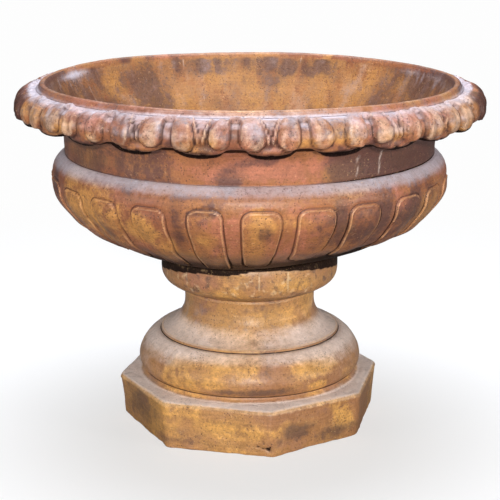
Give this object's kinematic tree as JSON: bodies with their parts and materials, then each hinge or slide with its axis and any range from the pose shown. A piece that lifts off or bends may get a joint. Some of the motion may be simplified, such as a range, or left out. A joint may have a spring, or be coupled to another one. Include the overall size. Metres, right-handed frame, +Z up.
{
  "type": "pedestal planter",
  "caption": "Wide round garden urn in fired clay: panelled bowl with a leaf-moulded roll rim, standing loose on a hollow round pedestal with an octagonal plinth.",
  "frame": {"origin": "centre of the plinth's underside, on the vertical axis that bowl and pedestal share", "axes": "+Z up out of the bowl, -Y towards the front; one plinth corner stands 8.3 degrees from -Y towards +X"},
  "size_m": [0.5504, 0.5504, 0.4117],
  "materials": {
    "bowl_clay": "weathered salt glaze, reddish brown with ochre and purple-brown fire marks, semi-gloss",
    "ring_bedding": "dull lime bedding",
    "pedestal_clay": "weathered salt glaze, golden ochre with dark speckle, semi-gloss"
  },
  "bodies": {
    "pedestal": {"pedestal": "pedestal_clay"},
    "seat_ring": {"seat_ring": "ring_bedding"},
    "bowl": {"bowl": "bowl_clay"}
  },
  "joints": [
    {"name": "bowl_turn", "type": "hinge", "parent": "pedestal", "child": "seat_ring", "pos_m": [0, 0, 0.207], "axis": [0, 0, 1], "continuous": true},
    {"name": "bowl_lift", "type": "slide", "parent": "seat_ring", "child": "bowl", "axis": [0, 0, 1], "range_m": [0, 0.06]}
  ]
}
